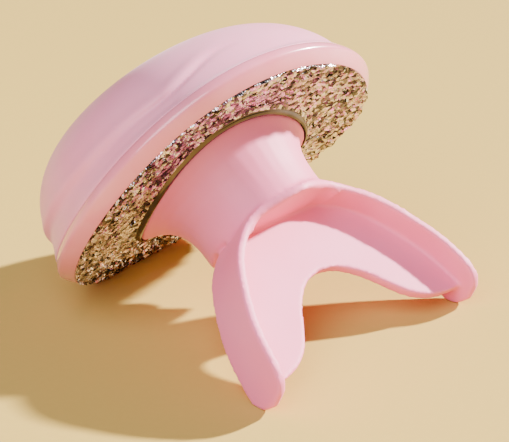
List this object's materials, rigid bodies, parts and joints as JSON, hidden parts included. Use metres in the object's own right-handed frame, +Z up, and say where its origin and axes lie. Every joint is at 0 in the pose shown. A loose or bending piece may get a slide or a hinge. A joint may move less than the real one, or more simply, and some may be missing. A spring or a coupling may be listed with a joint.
{
  "type": "skin scrubber",
  "caption": "Hand-held sonic skin scrubber: silicone dome head, glossy rim, crumpled rose-gold back shell, flared neck and a fluke-shaped handle with thumb pockets and a U-shaped notch.",
  "frame": {"origin": "centre of the bounding box's footprint, on the plane that the device lies on", "axes": "+Z up from the resting plane; +Y from the tips of the fluke towards the dome, along the way the device lies; +X across the device, the web's front face looking towards -Y and up"},
  "size_m": [0.0788, 0.083, 0.0613],
  "materials": {
    "dome_silicone": "satin silicone, soft sheen",
    "rim_gloss_pink": "gloss moulded",
    "button_gloss_pink": "gloss moulded",
    "handle_satin_pink": "satin moulded",
    "rose_gold_foil": "crumpled rose-gold metallised plastic with a polished collar",
    "white_abs": "as moulded",
    "black_abs": "as moulded",
    "gasket_rubber": "matte",
    "steel": "drawn",
    "screw_steel": "zinc plated",
    "weight_brass": "turned",
    "gold_plate": "gold plated",
    "cell_foil": "laminated foil pouch",
    "board_green": "solder resist",
    "led_lens": "clear, frosted inside",
    "lead_red": "PVC insulation",
    "lead_black": "PVC insulation",
    "lead_grey": "PVC insulation"
  },
  "bodies": {
    "housing": {"scrub_dome": "dome_silicone", "rim_ring": "rim_gloss_pink", "glitter_back": "rose_gold_foil", "tail_handle": "handle_satin_pink", "dome_core": "white_abs", "seal_ring": "gasket_rubber", "carrier_plate": "white_abs", "battery": "cell_foil", "battery_strap": "black_abs", "motor_can": "steel", "motor_bracket": "black_abs", "main_board": "board_green", "control_chip": "black_abs", "charge_chip": "black_abs", "power_coil": "black_abs", "switch_board": "board_green", "switch_frame": "white_abs", "tact_switch": "black_abs", "switch_cable": "lead_grey", "charge_pin_1": "gold_plate", "charge_pin_2": "gold_plate", "battery_lead_plus": "lead_red", "battery_lead_minus": "lead_black", "carrier_screw_1": "screw_steel", "carrier_screw_2": "screw_steel", "carrier_screw_3": "screw_steel", "carrier_screw_4": "screw_steel", "handle_screw_1": "screw_steel", "handle_screw_2": "screw_steel", "handle_screw_3": "screw_steel", "clamp_screw_1": "screw_steel", "clamp_screw_2": "screw_steel", "board_screw_1": "screw_steel", "board_screw_2": "screw_steel"},
    "button": {"power_button": "button_gloss_pink", "light_pipe": "led_lens"},
    "rotor": {"motor_shaft": "steel", "eccentric_weight": "weight_brass"}
  },
  "joints": [
    {"name": "button_press", "type": "slide", "parent": "housing", "child": "button", "axis": [0, -0.655, 0.7557], "range_m": [0, 0.0006], "stiffness_N_per_m": 1500},
    {"name": "motor_spin", "type": "hinge", "parent": "housing", "child": "rotor", "pos_m": [0, 0.01631, 0.03703], "axis": [0, 0.7557, 0.655], "continuous": true}
  ]
}
